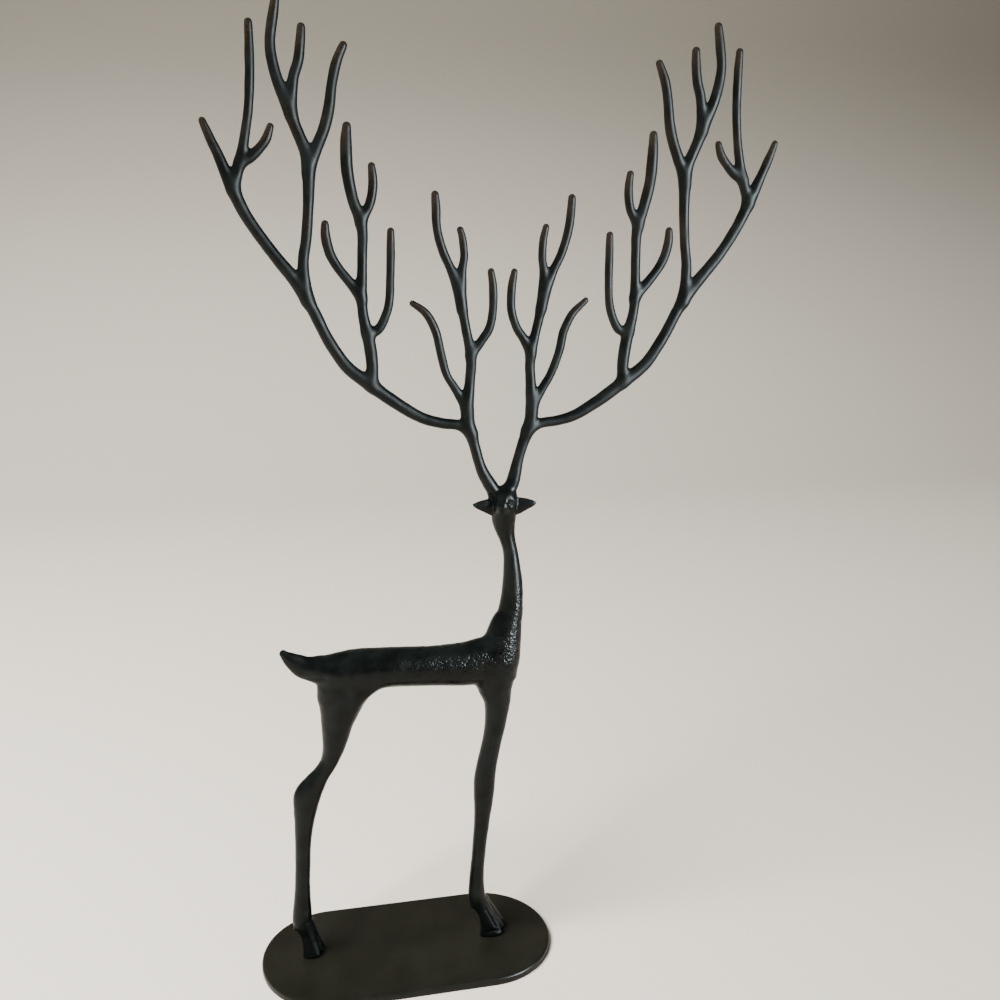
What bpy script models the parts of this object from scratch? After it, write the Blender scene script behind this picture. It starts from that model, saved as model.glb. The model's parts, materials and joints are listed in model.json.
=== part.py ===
"""A cast iron stag with branching antlers, standing on a flat oval base plate.

The stag is one casting: a long body on one hind and one fore leg, a slim neck, a small head turned
to the side, and two mirrored antlers that spread in the plane of the body. The plate is a second
casting under the hooves. Metres, +Z up, +X towards the stag's chest, origin under the plate's middle.

The figure keeps its pose and proportions as a drawing in millimetres, which is scaled to its height.
"""

import math
from dataclasses import dataclass

import bmesh
import bpy
import numpy as np
from mathutils import Vector

# The base plate
PLATE_LENGTH = 0.240
PLATE_WIDTH = 0.115
PLATE_THICKNESS = 0.0062
PLATE_EDGE_RADIUS = 0.0018
PLATE_EDGE_STEPS = 3
PLATE_ARC_STEPS = 28
PLATE_SHARP_FROM_DEG = 40

# The stag, from its soles to its highest tines, and the gap under the soles
STAG_HEIGHT = 0.7255
SEAT_GAP = 0.0003

# The drawing's own heights for the soles, the crown that carries the antlers and the highest tines
DRAWN_SOLE = 6.5
DRAWN_CROWN = 398.0
DRAWN_TOP = 732.0
# Where the drawing has the middle of the antlers, and how far forward of it they stand at some
# heights over the crown
ANTLERS_X = 70.0
FORWARD_OF_MIDDLE = ((0, 1.8), (4, 1.5), (14, -0.6), (30, -0.7), (48, 0.0))

# How finely the forms are made
BODY_SIDES = 12
BODY_RING_STEP = 0.011
TINE_RING_STEP = 0.013
TINE_BEVEL_RESOLUTION = 2
END_RINGS = 2
END_REACH = 0.9
TIP_TURNS_DEG = (0, 42, 75)

# The slab that cuts the soles flat, and how far it reaches past the plate
CUTTER_DEPTH = 0.030
CUTTER_SPREAD = 1.5

SOLE_Z = PLATE_THICKNESS + SEAT_GAP
# Metres for each millimetre of the drawing
SCALE = STAG_HEIGHT / (DRAWN_TOP - DRAWN_SOLE)

ACROSS_BODY = Vector((0, 1, 0))


@dataclass(frozen=True)
class Limb:
    """A rounded form swept along a path in the plane of the body.

    Each station is (x, z, half the thickness in the plane, half the depth across the body) in
    drawing millimetres.
    """

    name: str
    stations: tuple
    y: float = 0.0


@dataclass(frozen=True)
class Tine:
    """A round branch of an antler, drawn as (outwards, up, radius) from the crown's middle.

    A branch with a parent starts on the parent's centre line at that share of its length, and its
    own points follow from there.
    """

    name: str
    parent: str
    share: float
    start_radius: float
    points: tuple


LIMBS = (
    Limb(
        "trunk",
        (
            (-66, 258, 11.0, 9.5),
            (-56, 256.6, 14.3, 13.0),
            (-38, 256.7, 15.8, 14.8),
            (-10, 256.1, 15.6, 14.5),
            (20, 254.8, 15.9, 14.3),
            (45, 254.4, 17.6, 14.6),
            (62, 256.6, 18.6, 14.0),
            (72, 258, 16.0, 13.0),
        ),
    ),
    Limb(
        "tail",
        (
            (-58, 258.5, 9.0, 8.5),
            (-70, 259, 9.3, 7.5),
            (-79, 261.2, 9.0, 6.0),
            (-86, 265.8, 7.2, 4.8),
            (-91.5, 270.9, 4.5, 3.4),
            (-95, 275.2, 2.2, 2.0),
        ),
    ),
    Limb(
        "neck_and_fore_leg",
        (
            (74.3, 386, 8.4, 8.2),
            (74.4, 374, 9.2, 8.2),
            (75.1, 366, 8.2, 7.2),
            (77.4, 356, 6.2, 6.0),
            (80.4, 344, 5.8, 5.7),
            (81.9, 330, 6.9, 6.6),
            (82.5, 315, 8.2, 7.8),
            (82.0, 305, 9.0, 8.6),
            (80.9, 294, 10.2, 9.6),
            (78.2, 285, 12.7, 11.0),
            (75.0, 270, 15.2, 13.0),
            (73.0, 256, 16.0, 13.4),
            (69.8, 243, 17.4, 13.0),
            (70.2, 233, 14.4, 11.8),
            (71.8, 222, 11.2, 10.4),
            (71.6, 210, 9.4, 9.0),
            (70.4, 198, 8.5, 8.0),
            (67.8, 183, 7.9, 7.4),
            (64.5, 166, 8.2, 7.4),
            (62.6, 150, 8.8, 7.6),
            (62.1, 134, 8.0, 7.0),
            (61.0, 115, 6.6, 6.2),
            (59.4, 94, 5.9, 5.8),
            (57.9, 74, 5.7, 5.8),
            (57.1, 58, 6.2, 6.2),
            (57.4, 46, 7.0, 7.0),
            (59.4, 37, 7.4, 7.0),
            (63.8, 29, 6.5, 6.4),
            (67.6, 21, 6.4, 6.4),
            (70.0, 14, 7.2, 7.0),
        ),
    ),
    Limb(
        "hind_leg",
        (
            (-49, 261, 12.0, 11.0),
            (-48.6, 250, 20.4, 13.0),
            (-50.8, 239, 20.6, 13.2),
            (-52.8, 227, 16.4, 12.4),
            (-55.2, 214, 12.8, 11.0),
            (-57.0, 201, 10.3, 9.6),
            (-59.0, 190, 8.3, 8.4),
            (-62.4, 180, 6.8, 7.2),
            (-67.8, 171.5, 6.7, 6.6),
            (-73.6, 163, 8.6, 7.0),
            (-79.6, 153, 10.6, 7.6),
            (-81.6, 141, 9.3, 7.6),
            (-82.9, 128, 7.5, 7.0),
            (-84.1, 112, 6.4, 6.4),
            (-84.9, 95, 6.1, 6.0),
            (-85.6, 78, 6.0, 6.0),
            (-86.1, 62, 6.6, 6.4),
            (-86.6, 48, 7.6, 7.0),
            (-86.6, 38, 7.7, 7.2),
            (-82.8, 29, 6.6, 6.6),
            (-80.0, 21, 6.6, 6.6),
            (-78.4, 14, 7.2, 7.0),
        ),
    ),
)

ANTLER = (
    Tine(
        "main_stem",
        "",
        0.0,
        5.0,
        (
            (4.5, -10, 5.0),
            (7.0, -1, 5.2),
            (12.4, 10, 4.7),
            (15.6, 21, 4.15),
            (20.8, 39, 4.4),
            (24.3, 55, 4.9),
            (22.9, 79, 3.9),
            (22.4, 97, 3.8),
            (27.5, 123, 3.5),
            (32.8, 146, 3.9),
            (38.0, 160, 3.4),
            (44.0, 173, 3.2),
            (48.2, 188, 3.2),
            (49.8, 202, 3.2),
            (50.3, 214, 2.9),
        ),
    ),
    Tine(
        "stem_inner_tip",
        "main_stem",
        0.64,
        3.0,
        (
            (30.6, 157, 3.2),
            (29.2, 169, 3.0),
            (29.6, 181, 2.9),
            (32.0, 193, 2.5),
        ),
    ),
    Tine(
        "inner_tine",
        "main_stem",
        0.49,
        3.0,
        (
            (14.0, 110.5, 3.4),
            (9.0, 119, 3.3),
            (6.8, 132, 3.2),
            (6.9, 147, 3.1),
            (9.1, 161.5, 2.6),
        ),
    ),
    Tine(
        "crooked_tine",
        "main_stem",
        0.31,
        3.2,
        (
            (32.6, 74, 3.5),
            (39.4, 85.5, 3.3),
            (44.0, 101, 3.3),
            (47.0, 116, 3.4),
            (53.6, 129, 3.2),
            (66.0, 140.3, 2.2),
        ),
    ),
    Tine(
        "beam",
        "main_stem",
        0.235,
        3.8,
        (
            (31.0, 47.0, 3.9),
            (44.0, 48.9, 3.9),
            (60.0, 53.7, 4.2),
            (80.0, 66, 4.6),
            (98.0, 79.3, 4.9),
            (113.5, 92, 4.5),
            (126.5, 112, 4.2),
            (136.0, 132, 4.3),
            (147.0, 150.5, 4.6),
            (164.0, 172.5, 4.1),
            (177.8, 192.5, 4.1),
            (187.0, 212, 4.4),
            (194.8, 232, 3.5),
            (199.4, 242, 3.2),
            (205.2, 256, 2.4),
        ),
    ),
    Tine(
        "middle_stem",
        "beam",
        0.285,
        4.2,
        (
            (94.8, 92, 4.4),
            (96.6, 108, 4.6),
            (101.2, 131, 3.7),
            (101.4, 150, 3.7),
            (100.8, 170, 3.4),
            (100.8, 188, 3.9),
            (105.2, 206, 4.0),
            (109.0, 224, 4.1),
            (110.0, 242, 4.0),
            (109.8, 259.5, 3.0),
        ),
    ),
    Tine(
        "middle_inner_tip",
        "middle_stem",
        0.64,
        3.0,
        (
            (94.9, 204, 3.3),
            (92.8, 217, 3.2),
            (93.8, 231.5, 2.6),
        ),
    ),
    Tine(
        "middle_inner_tine",
        "middle_stem",
        0.215,
        3.0,
        (
            (90.4, 117, 3.4),
            (84.9, 126, 3.3),
            (81.6, 138, 3.1),
            (80.5, 156, 3.0),
            (80.2, 174, 3.0),
            (80.0, 188.5, 2.6),
        ),
    ),
    Tine(
        "middle_outer_tine",
        "middle_stem",
        0.35,
        3.4,
        (
            (110.0, 150.5, 3.5),
            (117.2, 159.5, 3.4),
            (123.0, 169.5, 3.5),
            (125.8, 181, 3.4),
            (126.0, 192.5, 2.7),
        ),
    ),
    Tine(
        "outer_stem",
        "beam",
        0.545,
        4.2,
        (
            (141.5, 161, 3.9),
            (139.0, 180, 3.7),
            (137.0, 202, 3.8),
            (136.4, 222, 4.3),
            (138.2, 237, 4.1),
            (144.2, 252, 4.0),
            (149.2, 266, 4.3),
            (154.8, 280, 3.9),
            (158.2, 294, 3.6),
            (158.8, 306, 3.4),
            (156.6, 320, 3.4),
            (154.0, 334, 2.8),
        ),
    ),
    Tine(
        "outer_middle_tip",
        "outer_stem",
        0.625,
        3.2,
        (
            (144.8, 281, 3.7),
            (141.2, 293, 3.5),
            (139.4, 305, 3.3),
            (138.6, 317, 2.8),
        ),
    ),
    Tine(
        "outer_inner_tine",
        "outer_stem",
        0.43,
        3.4,
        (
            (130.0, 240, 4.0),
            (125.2, 251.5, 4.0),
            (121.8, 264, 3.8),
            (119.6, 279, 3.4),
            (116.4, 293, 3.4),
            (110.2, 307, 2.8),
        ),
    ),
    Tine(
        "long_tine",
        "beam",
        0.84,
        3.6,
        (
            (181.2, 228, 3.7),
            (177.9, 242, 3.4),
            (174.7, 260, 3.1),
            (172.8, 280, 3.1),
            (172.2, 300, 3.1),
            (172.4, 318, 2.5),
        ),
    ),
    Tine(
        "hooked_tine",
        "long_tine",
        0.17,
        3.2,
        (
            (175.0, 231, 3.5),
            (169.0, 236.5, 3.3),
            (163.6, 243.5, 3.2),
            (159.6, 254, 2.5),
        ),
    ),
)

# How much further out than the drawing a branch stands, as the casting's two antlers aren't quite
# alike: pairs of height over the crown and distance, by side and name
LEANS = {
    ("left", "main_stem"): ((48, 0.0), (58, 0.9), (75, 0.4), (188, 0.0), (200, -1.0), (214, -0.4)),
    ("left", "crooked_tine"): ((72, 0.8), (86, 1.2), (104, 0.9), (116, 1.5), (124, 2.2), (140, 1.6)),
    ("left", "stem_inner_tip"): ((150, 0.0), (160, -1.2), (170, -0.6), (180, 0.2)),
    ("left", "middle_inner_tine"): ((120, 0.3), (150, 0.8), (190, 0.7)),
    ("left", "middle_stem"): ((190, 0.0), (208, 1.7), (220, 1.3), (242, 0.7), (260, 0.0)),
    ("right", "inner_tine"): ((108, 2.8), (116, 2.6), (125, 1.0), (134, 0.0)),
    ("right", "crooked_tine"): ((72, -0.6), (82, -1.6), (92, 0.0), (125, 0.0), (140, -0.8)),
    ("right", "beam"): (
        (125, 0.0),
        (140, 1.5),
        (158, 2.4),
        (170, 3.2),
        (184, 2.6),
        (196, 1.5),
        (210, 1.6),
        (228, 2.7),
        (242, 2.0),
        (256, 1.3),
    ),
    ("right", "long_tine"): ((222, 0.8), (240, 0.0)),
}
# How much lower than the drawing a tip ends, by side and name
LOWER_TIPS = {
    ("left", "crooked_tine"): 3.0,
    ("left", "stem_inner_tip"): 3.0,
    ("left", "middle_stem"): 2.5,
}

# The head: skull to nose, turned to the side that the figure shows, as (x, y, z, half height, half width)
HEAD_STATIONS = (
    (76.0, 5.0, 388.0, 8.2, 7.6),
    (75.0, 0.0, 388.0, 9.6, 9.4),
    (73.6, -5.0, 387.0, 9.0, 8.8),
    (71.8, -10.5, 385.4, 6.8, 6.6),
    (70.2, -15.5, 383.8, 4.6, 4.8),
    (69.0, -19.5, 382.6, 3.4, 3.8),
)

# One ear, root to tip, as (outwards, y, z, half height, half thickness); the other is its mirror image
EAR_STATIONS = (
    (4.0, 0.0, 383.2, 6.4, 3.4),
    (11.0, 0.5, 382.8, 6.6, 3.0),
    (17.0, 0.8, 383.2, 5.2, 2.4),
    (21.5, 0.6, 383.7, 3.1, 1.8),
    (24.3, 0.0, 384.1, 1.2, 1.0),
)
EARS_MIDDLE_X = 75.1


@dataclass(frozen=True)
class Hoof:
    """A cloven hoof: two toes side by side, splayed about the way the foot points."""

    name: str
    heel_x: float
    length: float
    heading_deg: float


HOOVES = (
    Hoof("fore_hoof", 61.0, 20.0, -14.0),
    Hoof("hind_hoof", -85.0, 17.5, -10.0),
)
TOE_SPACING = 7.6
TOE_SPLAY_DEG = 7.0
HOOF_Y = 1.0
# Along a toe, as (share of its length, height of the middle over the sole, half height, half width)
TOE_SECTIONS = (
    (0.0, 3.6, 4.6, 3.6),
    (0.3, 3.9, 5.6, 4.3),
    (0.6, 3.0, 5.0, 4.2),
    (0.85, 1.6, 3.9, 3.4),
    (1.0, 0.8, 2.4, 2.4),
)

IRON = ("cast_iron_black", (0.020, 0.021, 0.022, 1), 0.42, 0.55)
PLATE_IRON = ("cast_iron_plate", (0.022, 0.023, 0.020, 1), 0.60, 0.35)


def clear_scene():
    """Removes every object from the scene."""
    for obj in list(bpy.data.objects):
        bpy.data.objects.remove(obj, do_unlink=True)


def make_collection(name, hidden=False):
    """A collection in the scene, left out of renders when hidden."""
    collection = bpy.data.collections.new(name)
    collection.hide_render = hidden
    bpy.context.scene.collection.children.link(collection)
    return collection


def make_material(name, colour, roughness, metallic):
    """A Principled material with plain values."""
    material = bpy.data.materials.new(name)
    material.use_nodes = True
    shader = material.node_tree.nodes["Principled BSDF"]
    shader.inputs["Base Color"].default_value = colour
    shader.inputs["Roughness"].default_value = roughness
    shader.inputs["Metallic"].default_value = metallic
    return material


def drawn(x, y, z):
    """A point of the figure's drawing, in metres in the scene, with the drawn soles on the plate."""
    return Vector((x, y, z - DRAWN_SOLE)) * SCALE + Vector((0, 0, SOLE_Z))


def smooth_path(stations, step):
    """Stations as tuples of numbers, refined along a Catmull-Rom curve to about one ring a step.

    The first three numbers of a station are its place; all of them are smoothed alike.
    """
    ends = [stations[0], *stations, stations[-1]]
    rings = []
    for before, start, end, after in zip(ends, ends[1:], ends[2:], ends[3:]):
        length = (Vector(end[:3]) - Vector(start[:3])).length
        count = max(1, round(length / step))
        for index in range(count):
            t = index / count
            rings.append(
                tuple(
                    0.5 * (2 * b + (c - a) * t + (2 * a - 5 * b + 4 * c - d) * t**2
                           + (3 * b - a - 3 * c + d) * t**3)
                    for a, b, c, d in zip(before, start, end, after)
                )
            )
    rings.append(stations[-1])
    return rings


def tangents(points):
    """The unit direction of a path at each of its points."""
    found = []
    for index in range(len(points)):
        before = points[max(index - 1, 0)]
        after = points[min(index + 1, len(points) - 1)]
        found.append((after - before).normalized())
    return found


def new_object(name, mesh, collection, material):
    """An object for the mesh, shaded smooth, in the collection."""
    mesh.materials.clear()
    mesh.materials.append(material)
    mesh.shade_smooth()
    obj = bpy.data.objects.new(name, mesh)
    collection.objects.link(obj)
    return obj


def loft(name, rings, across, collection, material):
    """A closed form through elliptical rings, with rounded ends.

    A ring is (x, y, z, half height, half width) in metres. Its width lies along `across`, turned
    square to the path, and its height is square to both.
    """
    centres = [Vector(ring[:3]) for ring in rings]
    directions = tangents(centres)
    mesh = bmesh.new()
    loops = []

    def add_loop(centre, direction, high, wide):
        side = (across - direction * across.dot(direction)).normalized()
        lift = direction.cross(side)
        angles = [2 * math.pi * index / BODY_SIDES for index in range(BODY_SIDES)]
        loops.append(
            [mesh.verts.new(centre + side * wide * math.cos(a) + lift * high * math.sin(a)) for a in angles]
        )

    def add_end(index, sign):
        _, _, _, high, wide = rings[index]
        reach = END_REACH * min(high, wide)
        turns = [math.pi / 2 * step / (END_RINGS + 1) for step in range(1, END_RINGS + 1)]
        for turn in turns if sign > 0 else reversed(turns):
            centre = centres[index] + directions[index] * sign * reach * math.sin(turn)
            add_loop(centre, directions[index], high * math.cos(turn), wide * math.cos(turn))
        return centres[index] + directions[index] * sign * reach

    first_pole = mesh.verts.new(add_end(0, -1))
    for centre, direction, ring in zip(centres, directions, rings):
        add_loop(centre, direction, ring[3], ring[4])
    last_pole = mesh.verts.new(add_end(-1, 1))

    for low, high in zip(loops, loops[1:]):
        for index in range(BODY_SIDES):
            after = (index + 1) % BODY_SIDES
            mesh.faces.new((low[index], low[after], high[after], high[index]))
    for index in range(BODY_SIDES):
        after = (index + 1) % BODY_SIDES
        mesh.faces.new((first_pole, loops[0][after], loops[0][index]))
        mesh.faces.new((last_pole, loops[-1][index], loops[-1][after]))
    bmesh.ops.recalc_face_normals(mesh, faces=mesh.faces[:])
    data = bpy.data.meshes.new(name)
    mesh.to_mesh(data)
    mesh.free()
    return new_object(name, data, collection, material)


def add_limb(limb, collection, material):
    """A limb of the figure as its own closed form."""
    stations = [
        (*drawn(x, limb.y, z), high * SCALE, deep * SCALE) for x, z, high, deep in limb.stations
    ]
    return loft(limb.name, smooth_path(stations, BODY_RING_STEP), ACROSS_BODY, collection, material)


def add_head(collection, material):
    """The skull and muzzle, pointing at the side that the figure shows."""
    stations = [(*drawn(x, y, z), high * SCALE, wide * SCALE) for x, y, z, high, wide in HEAD_STATIONS]
    return loft("head", smooth_path(stations, BODY_RING_STEP / 2), Vector((1, 0, 0)), collection, material)


def add_ear(side, collection, material):
    """A leaf-shaped ear on one side of the head."""
    stations = [
        (*drawn(EARS_MIDDLE_X + side * out, y, z), high * SCALE, thick * SCALE)
        for out, y, z, high, thick in EAR_STATIONS
    ]
    name = "ear_right" if side > 0 else "ear_left"
    return loft(name, smooth_path(stations, BODY_RING_STEP / 2), ACROSS_BODY, collection, material)


def add_toe(hoof, side, collection, material):
    """One toe of a cloven hoof, standing on the plate."""
    heading = math.radians(hoof.heading_deg + side * TOE_SPLAY_DEG)
    forwards = Vector((math.cos(heading), math.sin(heading), 0))
    foot = math.radians(hoof.heading_deg)
    sideways = Vector((-math.sin(foot), math.cos(foot), 0))
    heel = drawn(hoof.heel_x, HOOF_Y, DRAWN_SOLE) + sideways * side * TOE_SPACING / 2 * SCALE
    stations = []
    for share, up, high, wide in TOE_SECTIONS:
        place = heel + forwards * share * hoof.length * SCALE
        place.z = SOLE_Z + up * SCALE
        stations.append((*place, high * SCALE, wide * SCALE))
    name = f"{hoof.name}_{'far' if side > 0 else 'near'}_toe"
    return loft(name, smooth_path(stations, BODY_RING_STEP / 2), sideways, collection, material)


def point_at_share(rings, share):
    """The point on a path of rings at a share of its length."""
    points = [Vector(ring[:3]) for ring in rings]
    lengths = [(after - before).length for before, after in zip(points, points[1:])]
    left = share * sum(lengths)
    for before, after, length in zip(points, points[1:], lengths):
        if left <= length:
            return before.lerp(after, left / length)
        left -= length
    return points[-1]


def read_off(pairs, up):
    """The value at a height, between pairs of height and value, and level past their ends."""
    heights, values = zip(*pairs)
    return float(np.interp(up, heights, values))


def antler_place(side, name, out, up):
    """A point of the drawing of an antler's branch on one side, in metres in the scene."""
    outwards = 1 if side == "right" else -1
    if (side, name) in LEANS:
        out += read_off(LEANS[side, name], up)
    x = ANTLERS_X + read_off(FORWARD_OF_MIDDLE, up) + outwards * out
    return drawn(x, 0, DRAWN_CROWN + up)


def tine_paths(side):
    """The rings of every branch of one antler, as (x, y, z, radius), by name."""
    paths = {}
    for tine in ANTLER:
        *shaft, (out, up, radius) = tine.points
        points = [*shaft, (out, up - LOWER_TIPS.get((side, tine.name), 0), radius)]
        stations = [
            (*antler_place(side, tine.name, out, up), radius * SCALE) for out, up, radius in points
        ]
        if tine.parent:
            start = point_at_share(paths[tine.parent], tine.share)
            stations.insert(0, (*start, tine.start_radius * SCALE))
        paths[tine.name] = smooth_path(stations, TINE_RING_STEP)
    return paths


def rounded_tip(rings):
    """The rings with the last one drawn back from the tip and rounded off over its own radius."""
    tip, before = Vector(rings[-1][:3]), Vector(rings[-2][:3])
    radius = rings[-1][3]
    onwards = (tip - before).normalized()
    last = tip - onwards * radius
    rounded = [
        (*(last + onwards * radius * math.sin(turn)), radius * math.cos(turn))
        for turn in map(math.radians, TIP_TURNS_DEG)
    ]
    return [*rings[:-1], *rounded]


def add_tine(name, rings, collection, material):
    """A round branch with a rounded tip, from a curve with a bevel."""
    curve = bpy.data.curves.new(name, "CURVE")
    curve.dimensions = "3D"
    curve.bevel_mode = "ROUND"
    curve.bevel_depth = 1.0
    curve.bevel_resolution = TINE_BEVEL_RESOLUTION
    curve.use_fill_caps = True
    rings = rounded_tip(rings)
    spline = curve.splines.new("POLY")
    spline.points.add(len(rings) - 1)
    for point, (x, y, z, radius) in zip(spline.points, rings):
        point.co = (x, y, z, 1)
        point.radius = radius
    guide = bpy.data.objects.new(name + "_guide", curve)
    collection.objects.link(guide)
    bpy.context.view_layer.update()
    evaluated = guide.evaluated_get(bpy.context.evaluated_depsgraph_get())
    mesh = bpy.data.meshes.new_from_object(evaluated)
    mesh.name = name
    welded = bmesh.new()
    welded.from_mesh(mesh)
    bmesh.ops.remove_doubles(welded, verts=welded.verts[:], dist=1e-6)
    bmesh.ops.recalc_face_normals(welded, faces=welded.faces[:])
    welded.to_mesh(mesh)
    welded.free()
    obj = new_object(name, mesh, collection, material)
    obj.matrix_world = guide.matrix_world
    bpy.data.objects.remove(guide, do_unlink=True)
    return obj


def ground_cutter(collection):
    """A slab whose top is where the soles are cut flat."""
    bpy.ops.mesh.primitive_cube_add(size=1)
    slab = bpy.context.object
    slab.name = "sole_cutter"
    slab.scale = (PLATE_LENGTH * CUTTER_SPREAD, PLATE_WIDTH * CUTTER_SPREAD, CUTTER_DEPTH)
    slab.location = (0, 0, SOLE_Z - CUTTER_DEPTH / 2)
    for holder in list(slab.users_collection):
        holder.objects.unlink(slab)
    collection.objects.link(slab)
    return slab


def hide_helpers(collection):
    """Draws every object of a helper collection as wires and leaves it out of renders."""
    for obj in collection.objects:
        obj.hide_render = True
        obj.display_type = "WIRE"


def make_stag(parts, forms, cutters, material):
    """The whole figure as one casting: every form joined to the trunk, with flat soles."""
    add_head(forms, material)
    for limb in LIMBS[1:]:
        add_limb(limb, forms, material)
    for side in (-1, 1):
        add_ear(side, forms, material)
        for hoof in HOOVES:
            add_toe(hoof, side, forms, material)
    for side in ("left", "right"):
        for name, rings in tine_paths(side).items():
            add_tine(f"{name}_{side}", rings, forms, material)
    hide_helpers(forms)
    slab = ground_cutter(cutters)
    hide_helpers(cutters)

    stag = add_limb(LIMBS[0], parts, material)
    stag.name = "stag"
    join = stag.modifiers.new("Join the forms", "BOOLEAN")
    join.operation = "UNION"
    join.solver = "EXACT"
    join.operand_type = "COLLECTION"
    join.collection = forms
    soles = stag.modifiers.new("Flat soles", "BOOLEAN")
    soles.operation = "DIFFERENCE"
    soles.solver = "EXACT"
    soles.object = slab
    return stag


def make_base_plate(parts, material):
    """The flat plate with half-round ends and a rounded upper edge."""
    radius = PLATE_WIDTH / 2
    straight = PLATE_LENGTH / 2 - radius
    mesh = bmesh.new()
    outline = []
    for side in (1, -1):
        for step in range(PLATE_ARC_STEPS + 1):
            turn = math.pi * step / PLATE_ARC_STEPS - math.pi / 2
            x = side * (straight + radius * math.cos(turn))
            outline.append(mesh.verts.new((x, side * radius * math.sin(turn), 0)))
    underside = mesh.faces.new(outline)
    raised = bmesh.ops.extrude_face_region(mesh, geom=[underside])
    top = [vert for vert in raised["geom"] if isinstance(vert, bmesh.types.BMVert)]
    bmesh.ops.translate(mesh, verts=top, vec=(0, 0, PLATE_THICKNESS))
    rim = [edge for edge in mesh.edges if all(vert in top for vert in edge.verts)]
    bmesh.ops.bevel(
        mesh,
        geom=rim,
        offset=PLATE_EDGE_RADIUS,
        segments=PLATE_EDGE_STEPS,
        profile=0.5,
        affect="EDGES",
    )
    bmesh.ops.recalc_face_normals(mesh, faces=mesh.faces[:])
    data = bpy.data.meshes.new("base_plate")
    mesh.to_mesh(data)
    mesh.free()
    plate = new_object("base_plate", data, parts, material)
    data.set_sharp_from_angle(angle=math.radians(PLATE_SHARP_FROM_DEG))
    return plate


def main():
    clear_scene()
    parts = make_collection("Stag statue")
    forms = make_collection("Forms joined in the stag", hidden=True)
    cutters = make_collection("Cutters", hidden=True)
    make_base_plate(parts, make_material(*PLATE_IRON))
    make_stag(parts, forms, cutters, make_material(*IRON))


main()
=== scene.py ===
"""A cast iron stag with branching antlers on an oval base plate, dressed for the render.

The stag is one casting whose limbs, head and tines run into each other with cast fillets, so its
skin is one closed surface: where a distance field is nought. Each limb, tine, ear and toe is a
profile carried along a path, whose field is a formula on whole arrays, and the fields are joined
with rounded creases. The plate is a profile carried round an oval.

Lengths inside the stag are the drawing's millimetres, in the row frame: +Z up, +X towards the
chest, -Y towards the viewer, with the origin under the plate's middle.
"""

import json
import logging
import math
from dataclasses import dataclass
from enum import Enum
from itertools import product

import bmesh
import bpy
import numpy as np
from mathutils import Matrix, Vector

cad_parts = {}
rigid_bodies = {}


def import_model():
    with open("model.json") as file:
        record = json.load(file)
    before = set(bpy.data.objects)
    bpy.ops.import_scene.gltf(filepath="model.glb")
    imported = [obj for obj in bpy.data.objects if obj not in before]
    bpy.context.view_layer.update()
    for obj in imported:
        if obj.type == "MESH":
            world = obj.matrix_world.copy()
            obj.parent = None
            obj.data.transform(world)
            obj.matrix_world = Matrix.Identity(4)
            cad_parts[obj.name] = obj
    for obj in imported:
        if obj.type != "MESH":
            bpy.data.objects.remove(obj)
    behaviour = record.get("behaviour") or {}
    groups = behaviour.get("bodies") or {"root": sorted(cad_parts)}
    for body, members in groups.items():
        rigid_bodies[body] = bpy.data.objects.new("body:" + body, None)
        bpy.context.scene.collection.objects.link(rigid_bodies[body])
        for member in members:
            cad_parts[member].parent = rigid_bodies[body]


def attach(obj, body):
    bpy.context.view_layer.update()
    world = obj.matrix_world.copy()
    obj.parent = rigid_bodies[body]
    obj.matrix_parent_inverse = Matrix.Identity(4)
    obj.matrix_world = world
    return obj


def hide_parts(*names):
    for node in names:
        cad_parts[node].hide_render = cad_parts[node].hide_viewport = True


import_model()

LOG = logging.getLogger("stag_statue")
Array = np.ndarray
MM = 0.001

# The drawing's heights for the soles and for the crown that carries the antlers
SOLE = 6.5
CROWN = 398.0
# Where the antlers' middle is, and how far it shifts towards the chest with the height over the crown
ANTLERS_X = 70.0
CROWN_RISES = (0, 4, 14, 30, 48)
CROWN_SHIFTS = (1.8, 1.5, -0.6, -0.7, 0.0)
EARS_MIDDLE_X = 75.1

# A field's value far from every form, and the room round a form in which it can matter
FAR = 1.0e3
MARGIN = 3.5
JUST_INSIDE = 0.02
TINY = 1e-6
SIDES = (-1, 1)
CORNERS = tuple(product((0, 1), repeat=3))

# What both paints share
PAINTED = {"Metallic": 0.0, "IOR": 1.45, "Specular_IOR_Level": 0.13}


class Slot(Enum):
    """The record's material slots."""

    STAG = "stag_iron"
    PLATE = "plate_iron"


# Shader maths


class Value:
    """A shader socket that adds its own Math nodes when it is used in an expression."""

    def __init__(self, shader: "Shader", socket: bpy.types.NodeSocket) -> None:
        """Wraps a node's output socket."""
        self.shader = shader
        self.socket = socket

    def _math(self, operation: str, other: object) -> "Value":
        """One Math node on this value and another value or a number."""
        return self.shader.node("ShaderNodeMath", {"operation": operation}, {0: self, 1: other})

    def __add__(self, other: object) -> "Value":
        """The sum."""
        return self._math("ADD", other)

    __radd__ = __add__

    def __sub__(self, other: object) -> "Value":
        """The difference."""
        return self._math("SUBTRACT", other)

    def __mul__(self, other: object) -> "Value":
        """The product."""
        return self._math("MULTIPLY", other)

    __rmul__ = __mul__

    def between(self, low: float, high: float) -> "Value":
        """0 below the low value and 1 above the high one, eased between them."""
        settings = {"interpolation_type": "SMOOTHSTEP"}
        return self.shader.node("ShaderNodeMapRange", settings, {0: self, 1: low, 2: high})


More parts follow.
